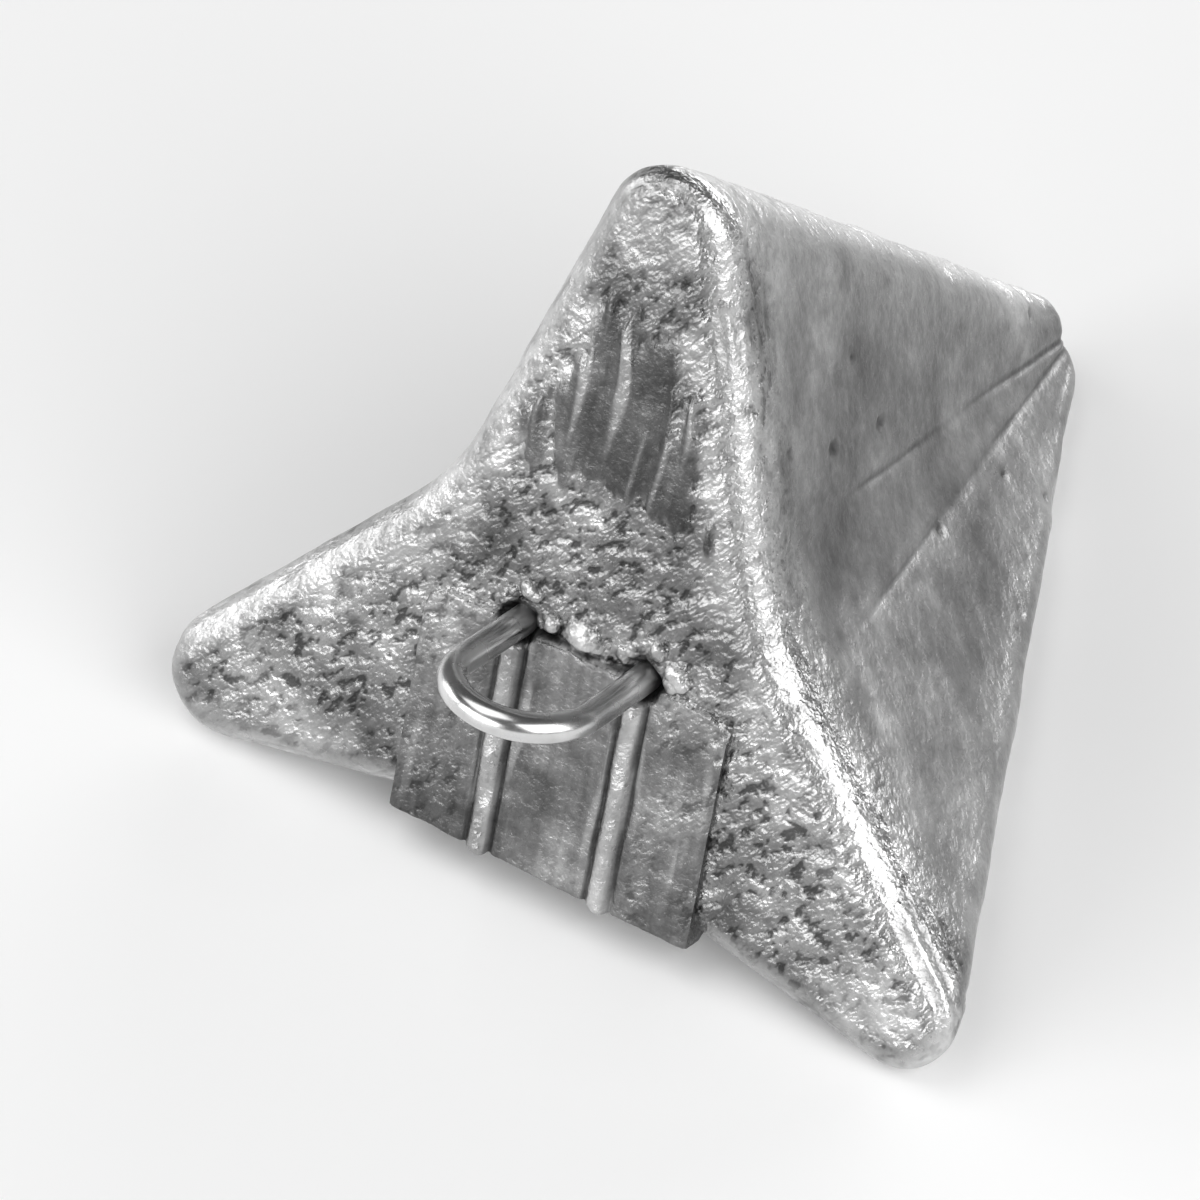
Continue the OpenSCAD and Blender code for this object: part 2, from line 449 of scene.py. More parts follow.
# %% The gate's mark
GATE_MARGIN = 1 * MM
GATE_BORDER = 0.8 * MM
GATE_RAGGED = 1.5 * MM
GATE_RAGGED_CELL = (0.9 * MM, 4 * MM, 1 * MM)
STREAK_CELL = (0.6 * MM, 9 * MM, 1 * MM)
STREAK_BEND = 0.5 * MM
STREAK_BEND_CELL = 5 * MM
STREAK_DEPTH = 0.12 * MM


def gate_share(x, y):
    """1 on the gate's mark and 0 off it. The mark narrows with the arm, and its border is ragged."""
    opening = np.pi / 6 - HOLLOW
    arm_half = (CORNER_R - RIM_ROUND + (CORNER_REACH + y) * np.sin(opening)) / np.cos(opening)
    from_ends = np.minimum(-y - GATE_START, GATE_START + GATE_L + y)
    inside = np.minimum(arm_half - GATE_MARGIN - np.abs(x), from_ends)
    ragged = GATE_RAGGED * layered_noise(flat_points(x, y), GATE_RAGGED_CELL, "gate border", layers=3)
    return ramp(inside + ragged, -GATE_BORDER / 2, GATE_BORDER / 2)


def gate_streaks(x, y):
    """Streaks along the arm, about -1 to 1: noise drawn out along Y on a line that bends a little."""
    points = flat_points(x, y)
    bend = STREAK_BEND * soft_noise(points, STREAK_BEND_CELL, "streak bend")
    return soft_noise(points + bend[..., None] * [1, 0, 0], STREAK_CELL, "streaks")


# %% [markdown]
# ## The skin of the casting
#
# The open end of the mould leaves the base face crinkled: small grains, drawn out the way the metal ran,
# over the whole face and the rim. The sides took the smooth wall of the mould, with soft swells where the
# metal chilled, faint flow lines, and a few pits. The mould's cutter marks run along the rim and fade
# towards the valleys. A bump in the material would leave the outline smooth, so all of this moves the
# points along the surface's own direction, and follows every curve.


# %% Direction and place of every point
def grid_normals(points):
    """Outward unit vectors of the grid: the cross product of the ways along its rows and its columns."""
    along = np.roll(points, -1, axis=1) - np.roll(points, 1, axis=1)
    up = np.gradient(points, axis=0)
    normals = np.cross(along, up)
    return normals / np.maximum(np.linalg.norm(normals, axis=-1, keepdims=True), 1e-12)


normals = grid_normals(body)
normals[:first_rim] = [0, 0, -1]
x, y, z = np.moveaxis(body, -1, 0)
row = np.arange(len(row_z))[:, None]
on_base = row < first_rim
on_rim = (row >= first_rim) & (row < first_side)
crest = np.broadcast_to(crest_at, x.shape)
valley_share = np.broadcast_to(valley_at, x.shape)
flank_share = np.broadcast_to(flank_at, x.shape)
on_ridge = crest <= 1
down_side = ramp(z, 0.6 * RIM_ROUND, 2.6 * RIM_ROUND)
toward_tip = ramp(z, 0.1 * BODY_L, 0.8 * BODY_L)
ridge_share = np.where(on_ridge, 1 - ramp(crest, 0.2, 1), 0) * ramp(z, 0, RIM_ROUND)
print(int(on_ridge.sum()), "points on the ridges")

# %% Crinkled grain and swells
GRAIN_DEPTH = 0.075 * MM
GRAIN_CELL = 0.95 * MM
DRAWN_OUT = 2.0
DRAW_ANGLE = np.radians(-35)
ROUGH_CELL = 6 * MM
MIDDLE_DEPTH = 0.06 * MM
MIDDLE_CELL = 2.4 * MM
SWELL_DEPTH = 0.16 * MM
SWELL_CELL = 9 * MM


def drawn(points):
    """Points pressed together along one way in the base plane, so that noise comes out longer that way."""
    x, y, z = np.moveaxis(points, -1, 0)
    cos, sin = np.cos(DRAW_ANGLE), np.sin(DRAW_ANGLE)
    return np.stack([(x * cos + y * sin) / DRAWN_OUT, y * cos - x * sin, z], axis=-1)


def grain(points):
    """Small drawn-out grains on low swells. Gives the height, and a share that is 1 down in the hollows."""
    grains = layered_noise(drawn(points), GRAIN_CELL, "grain")
    rough_place = 0.9 + 0.5 * soft_noise(points, ROUGH_CELL, "rough places")
    middle = MIDDLE_DEPTH * (soft_noise(points, MIDDLE_CELL, "middle grain") - 0.3)
    return GRAIN_DEPTH * grains * rough_place + middle, ramp(-grains, 0.25, 0.7)


def swell(points):
    """Soft swells of the chilled metal."""
    return SWELL_DEPTH * (layered_noise(points, SWELL_CELL, "swell") - 0.2)


gate = np.where(on_base, gate_share(x, y), 0)
streaks = gate_streaks(x, y)
grain_height, creased = grain(body)
grain_share = (1 - 0.85 * gate) * (1 - 0.5 * on_rim) * (1 - down_side * (0.86 - 0.3 * ridge_share))
print_range("grain", grain_share * grain_height)

# %% Flow lines of the sides
FLOW_DEPTH = 0.03 * MM
FLOW_CELL = 3.2 * MM
FLOW_WARP = 2.2 * MM
FLOW_WARP_CELL = 6 * MM
FLOW_PRESSED = 2.2
STRETCH_DEPTH = 0.035 * MM
STRETCH_CELL = 1.1 * MM
STRETCH_LENGTH = 7
STRETCH_PLACE_CELL = 9 * MM
warp = FLOW_WARP * soft_noise(body, FLOW_WARP_CELL, "flow warp")
flow_points = np.stack([x, y, z * FLOW_PRESSED + warp], axis=-1)
flow = FLOW_DEPTH * (0.5 - np.abs(layered_noise(flow_points, FLOW_CELL, "flow")))
stretch_place = ramp(soft_noise(body, STRETCH_PLACE_CELL, "stretch places"), -0.3, 0.4)
stretch_share = (0.35 + 0.65 * toward_tip) * stretch_place
long_points = np.stack([x, y, z / STRETCH_LENGTH], axis=-1)
stretch = STRETCH_DEPTH * stretch_share * layered_noise(long_points, STRETCH_CELL, "stretch")
print_range("flow lines", flow + stretch)

# %% Pits of the sides
SIDE_PIT_DEPTH = 0.14 * MM
SIDE_PIT_CELL = 2.4 * MM
SIDE_PIT_SIZE = (0.05, 0.19)
EMPTY_CELLS = 0.7
spot_gap, spot_number = nearest_spots(body, SIDE_PIT_CELL, "pits")
pit_size = SIDE_PIT_SIZE[0] + (SIDE_PIT_SIZE[1] - SIDE_PIT_SIZE[0]) * spot_number
side_pits = -SIDE_PIT_DEPTH * (1 - ramp(spot_gap, 0.4 * pit_size, pit_size)) * (spot_number > EMPTY_CELLS)
print_range("pits", side_pits)

# %% Lines along the valley
VALLEY_LINE = 0.1 * MM
VALLEY_LINE_W = 0.22 * MM
VALLEY_STEP = 0.07 * MM
VALLEY_STEP_W = 0.3 * MM
VALLEY_START = (3 * MM, 14 * MM)
VALLEY_CHANGE_CELL = 5 * MM
valley_width = row_valley[:, None] * np.sin(HOLLOW)
flank_length = row_reach[:, None] * np.cos(np.pi / 6) - row_ridge[:, None] * np.sin(HOLLOW) - valley_width
in_valley = (1 - np.abs(valley_share)) * valley_width
from_edge = np.where(np.abs(valley_share) <= 1, in_valley, -flank_share * flank_length)
line_change = 0.7 + 0.5 * soft_noise(body, VALLEY_CHANGE_CELL, "valley line")
line_strength = ramp(z, *VALLEY_START) * line_change
valley_lines = -VALLEY_LINE * line_strength * np.exp(-(from_edge / VALLEY_LINE_W) ** 2)
valley_lines += VALLEY_STEP * line_strength * ramp(from_edge, 0, VALLEY_STEP_W)
valley_lines = np.where(on_ridge, 0, valley_lines)
print_range("valley lines", valley_lines)

# %% Cutter marks along the rim
RIM_LINE_DEPTH = 0.09 * MM
RIM_LINE_GAP = 0.78 * MM
RIM_WAVE = 0.35 * MM
RIM_WAVE_CELL = 8 * MM
RIM_PATCH_CELL = (5 * MM, 5 * MM, 12 * MM)
RIM_BAND_START = (0.2 * MM, 0.9 * MM)
RIM_BAND_END = (3.6 * MM, 5.6 * MM)
rim_arc = np.concatenate([
    np.zeros(first_rim), RIM_ROUND * rim_angle, RIM_ROUND * np.pi / 2 + row_z[first_side:] - RIM_ROUND
])[:, None]
rim_wave = RIM_WAVE * soft_noise(body, RIM_WAVE_CELL, "rim wave")
rim_lines = np.cos(2 * np.pi * (rim_arc + rim_wave) / RIM_LINE_GAP)
near_corner = ramp(flank_share, 0.1, 0.6) * (1 - 0.6 * ramp(1 - crest, 0.2, 0.9) * on_ridge)
rim_band = ramp(rim_arc, *RIM_BAND_START) * (1 - ramp(rim_arc, *RIM_BAND_END))
rim_patches = ramp(soft_noise(body, RIM_PATCH_CELL, "rim patches"), -0.25, 0.35)
rim_marks = RIM_LINE_DEPTH * (rim_lines - 1) / 2 * rim_band * near_corner * rim_patches
print_range("cutter marks", rim_marks)

# %% Dents and wear on the ridges
DENTS = 34
DENT_R = (0.5 * MM, 1.5 * MM)
DENT_DEPTH = 0.14
RIDGE_SWELL = 0.06 * MM
RIDGE_SWELL_CELL = 2.6 * MM
rng = np.random.default_rng(list(b"dents"))
dents = np.zeros_like(x)
arm_starts = np.arange(3) * columns // 3
for _ in range(DENTS):
    dent_row = rng.integers(first_side, first_tip)
    dent_column = rng.choice(arm_starts) + rng.integers(0, RIDGE_COLUMNS)
    radius = rng.uniform(*DENT_R)
    depth = DENT_DEPTH * radius * rng.uniform(0.4, 1)
    away = np.linalg.norm((body - body[dent_row, dent_column]) * [1, 1, rng.uniform(0.5, 1)], axis=-1)
    dents -= depth * (1 - ramp(away, 0, radius))
ridge_swell = RIDGE_SWELL * (soft_noise(body, RIDGE_SWELL_CELL, "ridge swell") - 0.6) * ridge_share
print_range("dents and wear", dents + ridge_swell)

# %% [markdown]
# The holder's patch and the ragged seam need finer points than the rest of the base. So that part of the
# surface is a sheet of its own, and the big grid dips below it there.

# %% The finished skin
SHEET_HALF_X = PAD_W / 2
SHEET_START = -2.6 * MM
DIP = 1.2 * MM
DIP_MARGIN = 0.9 * MM


def inside_sheet(x, y):
    """1 where the fine sheet lies over the base, 0 outside it, by a ramp that starts a margin inside."""
    inside = np.minimum(SHEET_HALF_X - np.abs(x), y - SHEET_START)
    return ramp(inside, DIP_MARGIN, 1.8 * DIP_MARGIN)


skin = grain_share * grain_height + (0.3 + 0.7 * down_side) * swell(body)
skin += down_side * (flow + side_pits + stretch)
gate_height = gate * (GATE_PROUD + STREAK_DEPTH * streaks)
skin += np.where(on_base, gate_height, valley_lines + rim_marks + dents + ridge_swell)
dip = np.where(on_base, DIP * inside_sheet(x, y), 0)
body = body + normals * (skin - dip)[..., None]
print_range("skin", skin)

# %% [markdown]
# ## From grid to mesh
#
# Towards the middle of the base and towards the tip the rings get short, so every second column is left
# out there, and on the base twice more further in. A ring and its thinner neighbour are joined by three
# triangles for each column of the thinner one. Quads are cut along their shorter diagonal.

# %% Thinned rows
row_step = np.ones(len(row_z), dtype=int)
row_step[:first_rim] = np.select([base_share < 0.13, base_share < 0.26, base_share < 0.52], [8, 4, 2], 1)
row_step[first_side + LOW_SIDE_ROWS:] = 2
kept = [np.arange(0, columns, step) for step in row_step]
row_start = np.concatenate([[0], np.cumsum([len(k) for k in kept])])


def thinned(values):
    """The grid's values at the kept points, one row after another."""
    return np.concatenate([values[r][k] for r, k in enumerate(kept)])


poles = np.array([[0, 0, DIP], [0, 0, BODY_L]])
lead_points = laid_in_box(np.concatenate([thinned(body), poles]))


# %% Triangles
def quads_cut(low, high, points):
    """Two triangles for each pair of neighbours on two rings of the same length."""
    low_next, high_next = np.roll(low, -1), np.roll(high, -1)
    one = np.linalg.norm(points[low] - points[high_next], axis=1)
    other = np.linalg.norm(points[low_next] - points[high], axis=1)
    along_one = np.stack([low, low_next, high_next, low, high_next, high], 1)
    along_other = np.stack([low, low_next, high, low_next, high_next, high], 1)
    return np.where((one < other)[:, None], along_one, along_other).reshape(-1, 3)


def band(low, high, points):
    """Triangles between two rings of point numbers, of which one may have half as many as the other."""
    if len(low) == len(high):
        return quads_cut(low, high, points)
    if len(low) > len(high):
        near, middle, far, high_next = low[::2], low[1::2], np.roll(low, -2)[::2], np.roll(high, -1)
        sides = [(near, middle, high), (middle, high_next, high), (middle, far, high_next)]
    else:
        near, middle, far, low_next = high[::2], high[1::2], np.roll(high, -2)[::2], np.roll(low, -1)
        sides = [(low, middle, near), (low, low_next, middle), (low_next, far, middle)]
    return np.concatenate([np.stack(side, 1) for side in sides])


ring_numbers = [np.arange(row_start[r], row_start[r + 1]) for r in range(len(row_z))]
first_ring, last_ring = ring_numbers[0], ring_numbers[-1]
base_pole, tip_pole = np.full_like(first_ring, row_start[-1]), np.full_like(last_ring, row_start[-1] + 1)
lead_triangles = np.concatenate(
    [np.stack([base_pole, np.roll(first_ring, -1), first_ring], 1)]
    + [band(a, b, lead_points) for a, b in zip(ring_numbers[:-1], ring_numbers[1:])]
    + [np.stack([last_ring, np.roll(last_ring, -1), tip_pole], 1)]
)
print(len(lead_points), "points,", len(lead_triangles), "triangles")


# %% A piece from arrays
def add_object(name, data):
    """A new object in the scene."""
    thing = bpy.data.objects.new(name, data)
    bpy.context.scene.collection.objects.link(thing)
    return thing


def make_piece(name, points, faces, sharp=None):
    """A smooth-shaded object from arrays of points and faces, which rides on the root. Edges over the sharp
    angle stay sharp."""
    mesh = bpy.data.meshes.new(name)
    mesh.from_pydata(points.tolist(), [], faces)
    mesh.shade_smooth()
    if sharp is not None:
        mesh.set_sharp_from_angle(angle=sharp)
    mesh.validate()
    piece = add_object(name, mesh)
    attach(piece, "root")
    return piece


def add_share(piece, name, values):
    """Stores one number between 0 and 1 for each point, for the material to read."""
    attribute = piece.data.attributes.new(name, "FLOAT", "POINT")
    attribute.data.foreach_set("value", np.clip(values, 0, 1).astype(np.float32))


SHARP_EDGE = np.radians(55)
lead = make_piece("lead_casting", lead_points, lead_triangles.tolist(), sharp=SHARP_EDGE)
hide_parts("lead_body")

# %% [markdown]
# ## What the material needs to know
#
# Creases and pits are painted darker: painted shade, with some dirt and oxide. What stands out is
# painted brighter: a painted highlight, with some rubbing. The grid knows both: how deep a point is sunk,
# and whether it lies on a ridge, on the rim, on the patch or on the gate's mark.

# %% What is sunk
# Painted shade with dirt: the grain's creases and the sunk marks get a share that darkens the grey.
CREASE_SHADE_AND_DIRT = 0.5
MARK_SHADE_AND_DIRT = 0.7
in_marks = ramp(-(valley_lines + rim_marks + down_side * side_pits), 0.01 * MM, 0.09 * MM)
shade_and_dirt = CREASE_SHADE_AND_DIRT * grain_share * creased
shade_and_dirt = np.where(on_base, shade_and_dirt, np.maximum(shade_and_dirt, MARK_SHADE_AND_DIRT * in_marks))
print("sunk by", round(float(shade_and_dirt.mean()), 3), "on average")

# %% What is rubbed, and where a highlight is painted
BRIGHT_CELL = 3.5 * MM
EDGE_HIGHLIGHT_AND_WEAR = 0.6
FLANK_HIGHLIGHT_AND_WEAR = 0.3
STREAK_HIGHLIGHT_AND_WEAR = 0.55
# Painted highlight with wear: ridges, a rim band, edges, upper flanks and streak tops brighten the grey.
rim_share = np.where(on_rim, np.sin(np.clip(rim_arc / RIM_ROUND, 0, np.pi / 2) * 2), 0)
edge_share = np.where(on_base, ramp(row_scale[:, None], 0.72, 1) * (1 - gate), 1 - down_side)
edge_share = edge_share * ramp(soft_noise(body, BRIGHT_CELL, "bright places"), -0.3, 0.3)
flank_highlight_and_wear = FLANK_HIGHLIGHT_AND_WEAR * down_side * ramp(flank_share, 0.6, 1)
on_edges = np.maximum(np.maximum(ridge_share, rim_share), EDGE_HIGHLIGHT_AND_WEAR * edge_share)
streak_tops = ramp(streaks, 0.14, 0.5)
on_streaks = STREAK_HIGHLIGHT_AND_WEAR * gate * streak_tops
wear_and_highlight = np.maximum(np.maximum(on_edges, flank_highlight_and_wear) * (1 - 0.5 * creased), on_streaks)
smooth_gate = gate * (1 - 0.75 * streak_tops)
print("rubbed by", round(float(wear_and_highlight.mean()), 3), "on average")

# %% Shares stored on the points
lead_shares = {"shade_and_dirt": shade_and_dirt, "wear_and_highlight": wear_and_highlight, "smooth": smooth_gate, "side": down_side, "gate": gate}
for name, values in lead_shares.items():
    ends = [values[0].mean(), values[-1].mean()]
    add_share(lead, name, np.concatenate([thinned(values), ends]))
print("shares stored on", len(lead.data.vertices), "points")

# %% [markdown]
# ## The fine sheet
#
# The sheet's rows start on the bare base face, cross the seam and the patch, turn over the patch's edge,
# and go down its lip and back into the valley of the side. Each row is a line along X. From the sheet's
# outer edge a skirt goes down to a point inside the lead, so the sheet is closed.

# %% Where the sheet's rows run
SHEET_COLUMNS = 200
TOP_ROWS = 184
EDGE_ROWS = 6
WALL_ROWS = 12
SLOPE_ROWS = 16
EDGE_R = 0.13 * MM
side_line = CORNER_R + CORNER_REACH * np.cos(RIDGE_SWING)
pad_edge = side_line / np.cos(HOLLOW) + PAD_W / 2 * np.tan(HOLLOW)


def valley_floor(z):
    """Distance from the axis to the bottom of the valley at depth z."""
    reach, ridge, valley = sizes_at(z)
    return valley_centre(reach, ridge, valley) - valley


edge_angle = np.linspace(0, np.pi / 2, EDGE_ROWS + 1)[1:]
wall_z = np.linspace(EDGE_R - PAD_PROUD, LIP_T, WALL_ROWS + 1)[1:]
slope_share = np.linspace(0, 1, SLOPE_ROWS + 1)[1:]
slope_end = valley_floor(LIP_END) - LIP_SUNK
slope_way = np.array([LIP_END - LIP_T, pad_edge - slope_end])
slope_way /= np.linalg.norm(slope_way)
sheet_y = np.concatenate([
    np.linspace(SHEET_START, pad_edge - EDGE_R, TOP_ROWS),
    pad_edge - EDGE_R * (1 - np.sin(edge_angle)),
    np.full(WALL_ROWS, pad_edge),
    pad_edge + (slope_end - pad_edge) * slope_share,
])
sheet_z = np.concatenate([
    np.full(TOP_ROWS, -PAD_PROUD),
    EDGE_R * (1 - np.cos(edge_angle)) - PAD_PROUD,
    wall_z,
    LIP_T + (LIP_END - LIP_T) * slope_share,
])
slope_y, slope_z = np.full(SLOPE_ROWS, slope_way[0]), np.full(SLOPE_ROWS, slope_way[1])
way_y = np.concatenate([np.zeros(TOP_ROWS), np.sin(edge_angle), np.ones(WALL_ROWS), slope_y])
way_z = np.concatenate([-np.ones(TOP_ROWS), -np.cos(edge_angle), np.zeros(WALL_ROWS), slope_z])
print("patch edge at", round(pad_edge / MM, 2), "mm")

# %% Patterns of the sheet
PATCH_LINE_CELL = (0.8 * MM, 7 * MM, 1 * MM)
STRIP_X = (LEG_X + 0.8 * MM, LEG_X + 1.6 * MM)
STRIP_CELL = 2.5 * MM
RIB_FOOT = (0.05 * MM, 0.2 * MM)
sx, sy = np.meshgrid(np.linspace(-SHEET_HALF_X, SHEET_HALF_X, SHEET_COLUMNS), sheet_y)
sz = np.broadcast_to(sheet_z[:, None], sx.shape)
on_top = np.arange(len(sheet_y))[:, None] < TOP_ROWS
edge_y = np.where(on_top, sy, pad_edge)
patch = np.where(on_top, patch_share(sx, sy), 1)
bare = np.stack([sx, sy, np.where(on_top, 0, sz)], axis=-1)
bare_grain, bare_creased = grain(bare)
lines = layered_noise(flat_points(sx, edge_y), PATCH_LINE_CELL, "patch lines")
rib = rib_height(sx, edge_y) * (1 - ramp(sz, 0, LIP_T))
rough_strip = ramp(np.abs(sx), *STRIP_X) * ramp(soft_noise(bare, STRIP_CELL, "rough strips"), -0.5, 0.3)
rough_rib = ramp(rib, *RIB_FOOT)
smooth = patch * (1 - np.maximum(0.6 * rough_strip, 0.7 * rough_rib))
print_range("ribs", rib)

# %% Heights of the sheet
LINE_DEPTH = 0.04 * MM
PATCH_SWELL = 0.05 * MM
PATCH_SWELL_CELL = 3.5 * MM
SHEET_PROUD = 0.015 * MM
SHEET_FADE = 0.05 * MM
CORNER_DROP = 0.05 * MM
CORNER_DROP_W = 0.15 * MM
patch_swell = PATCH_SWELL * soft_noise(bare, PATCH_SWELL_CELL, "patch swell")
relief = patch * (rib + LINE_DEPTH * lines + patch_swell)
relief += (1 - 0.8 * smooth) * bare_grain + (1 - patch) * 0.3 * swell(bare)
squeezed = np.maximum(np.maximum(bead_height(sx, sy), lump_height(sx, sy)) - patch * PAD_PROUD, 0)
sunk_marks = seam_height(sx, sy) + pit_height(sx, sy)
from_border = np.minimum(SHEET_HALF_X - np.abs(sx), sy - SHEET_START)
flush = SHEET_PROUD - SHEET_FADE * (1 - ramp(from_border, 0, DIP_MARGIN))
relief += np.where(on_top, squeezed + sunk_marks + (1 - patch) * (flush - PAD_PROUD), 0)
relief -= CORNER_DROP * (1 - ramp(SHEET_HALF_X - np.abs(sx), 0, CORNER_DROP_W)) * patch
print_range("sheet", relief)

# %% The sheet's mesh
INNER_POINT = np.array([0, 8 * MM, 2 * MM])
SKIRT = 0.9 * MM
SKIRT_END = 8.8 * MM
SKIRT_PACE = 0.02
sheet = np.stack([sx, sy + way_y[:, None] * relief, sz + way_z[:, None] * relief], axis=-1)
path = np.concatenate([[0], np.cumsum(np.hypot(np.diff(sheet_y), np.diff(sheet_z)))]) + SHEET_START
skirt_y = np.minimum(path, SKIRT_END)
below_lip = np.where(on_top[:, 0], 0, np.maximum(sheet_z - LIP_T, 0))
skirt_z = SKIRT + SKIRT_PACE * np.maximum(path - SKIRT_END, 0) + below_lip
skirt = np.stack(np.broadcast_arrays(sx, skirt_y[:, None], skirt_z[:, None]), axis=-1)
numbers = np.arange(sx.size).reshape(sx.shape)
loop = np.concatenate([numbers[0, :-1], numbers[:-1, -1], numbers[-1, :0:-1], numbers[:0:-1, 0]])
loop_next = np.roll(loop, -1)
low_loop = sx.size + np.arange(len(loop))
low_next = np.roll(low_loop, -1)
inner = np.full(len(loop), sx.size + len(loop))
sheet_quads = np.stack([numbers[:-1, :-1], numbers[1:, :-1], numbers[1:, 1:], numbers[:-1, 1:]], -1)
skirt_quads = np.stack([loop, loop_next, low_next, low_loop], 1)
bottom = np.stack([low_loop, low_next, inner], 1)
sheet_points = np.concatenate([sheet.reshape(-1, 3), skirt.reshape(-1, 3)[loop], [INNER_POINT]])
sheet_faces = sheet_quads.reshape(-1, 4).tolist() + skirt_quads.tolist() + bottom.tolist()
patch_piece = make_piece("holder_patch", laid_in_box(sheet_points), sheet_faces, sharp=SHARP_EDGE)
print("sheet of", len(sheet_faces), "faces")

# %% Shares of the sheet
RIB_BRIGHT_PLACE_CELL = (1.2 * MM, 4 * MM, 2 * MM)
RIB_HIGHLIGHT_AND_WEAR = 0.9
BEAD_HIGHLIGHT_AND_WEAR = 0.7
LINE_HIGHLIGHT_AND_WEAR = 0.4
# Painted shade with dirt: the seam, the grooves beside the ribs and the creases darken the sheet's grey.
in_seam = np.where(on_top, ramp(-sunk_marks, 0.03 * MM, 0.3 * MM), 0)
in_groove = patch * ramp(-rib, 0.01 * MM, 0.06 * MM)
in_creases = CREASE_SHADE_AND_DIRT * (1 - 0.8 * smooth) * bare_creased
sheet_shade_and_dirt = np.maximum(in_creases, np.maximum(in_seam, 0.9 * in_groove))
# Painted highlight with wear: the ribs, the beads and the patch's lines brighten the sheet's grey.
rib_bright_place = 0.55 + 0.45 * ramp(layered_noise(bare, RIB_BRIGHT_PLACE_CELL, "rib wear"), -0.3, 0.4)
on_ribs = RIB_HIGHLIGHT_AND_WEAR * patch * rough_rib * rib_bright_place
on_beads = BEAD_HIGHLIGHT_AND_WEAR * ramp(squeezed, 0.03 * MM, 0.3 * MM)
on_lines = LINE_HIGHLIGHT_AND_WEAR * smooth * ramp(lines, 0.35, 0.7)
sheet_wear_and_highlight = np.maximum(np.maximum(on_ribs, on_beads), on_lines)
zeros = np.zeros_like(sx)
sheet_shares = {"shade_and_dirt": sheet_shade_and_dirt, "wear_and_highlight": sheet_wear_and_highlight, "smooth": smooth, "side": zeros, "gate": zeros}
for name, values in sheet_shares.items():
    values = values.reshape(-1)
    add_share(patch_piece, name, np.concatenate([values, values[loop], [0]]))
print("shares stored on", len(patch_piece.data.vertices), "points")

# %% [markdown]
# ## The wire eye
#
# The eye is one length of round wire: foot, bend, leg, crown, leg, bend, foot. It is swept along its
# middle line. A curve with a bevel would do for a perfect wire. Bent wire is never quite even, so here the
# line wanders by a few hundredths of a millimetre, and each ring has a thickness of its own.

# %% The wire's middle line
CROWN_STEPS = 72
BEND_STEPS = 18
LEG_STEPS = 46
WANDER = 0.05 * MM
WANDER_CELLS = {"wire wander x": 4 * MM, "wire wander y": 5 * MM}
leg_depth = ANCHOR_DEPTH - WIRE_R - FOOT_BEND
half_crown = np.linspace(np.pi / 2, 0, CROWN_STEPS // 2 + 1)
crown = np.stack([LEG_X * np.cos(half_crown), -CROWN_H - LEG_X * np.sin(half_crown)], axis=1)
leg_z = np.linspace(-CROWN_H, leg_depth, LEG_STEPS + 1)[1:]
leg = np.stack([np.full(LEG_STEPS, LEG_X), leg_z], axis=1)
bend_angle = np.linspace(0, np.pi / 2, BEND_STEPS + 1)[1:]
bend_x, bend_z = LEG_X + FOOT_BEND * (1 - np.cos(bend_angle)), leg_depth + FOOT_BEND * np.sin(bend_angle)
bend = np.stack([bend_x, bend_z], axis=1)
foot = np.array([[LEG_X + FOOT_REACH, leg_depth + FOOT_BEND]])
half_line = np.concatenate([crown, leg, bend, foot])
line_xz = np.concatenate([half_line[:0:-1] * [-1, 1], half_line])
wire_line = np.stack([line_xz[:, 0], np.zeros(len(line_xz)), line_xz[:, 1]], axis=1)
wander = np.stack([soft_noise(wire_line, size, name) for name, size in WANDER_CELLS.items()], axis=1)
below_crown = ramp(wire_line[:, 2], -EYE_OUT, -0.75 * EYE_OUT)
wire_line[:, :2] += WANDER * wander * below_crown[:, None]
print("middle line of", len(wire_line), "points")


# %% The wire's surface
def tube(line, radius, sides):
    """A tube round a line in the XZ plane: at each point a circle spanned by Y and the line's own normal.
    Each end is closed by a point in its middle. Gives points, quads, end triangles and lengths so far."""
    way = np.gradient(line, axis=0)
    way /= np.linalg.norm(way, axis=1, keepdims=True)
    side_way = np.tile([0.0, 1.0, 0.0], (len(line), 1))
    normal = np.cross(side_way, way)
    angle = np.linspace(0, 2 * np.pi, sides, endpoint=False)
    ring = normal[:, None] * np.cos(angle)[:, None] + side_way[:, None] * np.sin(angle)[:, None]
    points = (line[:, None] + np.asarray(radius)[..., None] * ring).reshape(-1, 3)
    numbers = np.arange(len(points)).reshape(len(line), sides)
    after = np.roll(numbers, -1, axis=1)
    quads = np.stack([numbers[:-1], after[:-1], after[1:], numbers[1:]], axis=-1).reshape(-1, 4)
    caps = [np.stack([np.full(sides, len(points)), after[0], numbers[0]], 1),
            np.stack([np.full(sides, len(points) + 1), numbers[-1], after[-1]], 1)]
    length = np.concatenate([[0], np.cumsum(np.linalg.norm(np.diff(line, axis=0), axis=1))])
    return np.concatenate([points, line[:1], line[-1:]]), quads, np.concatenate(caps), length


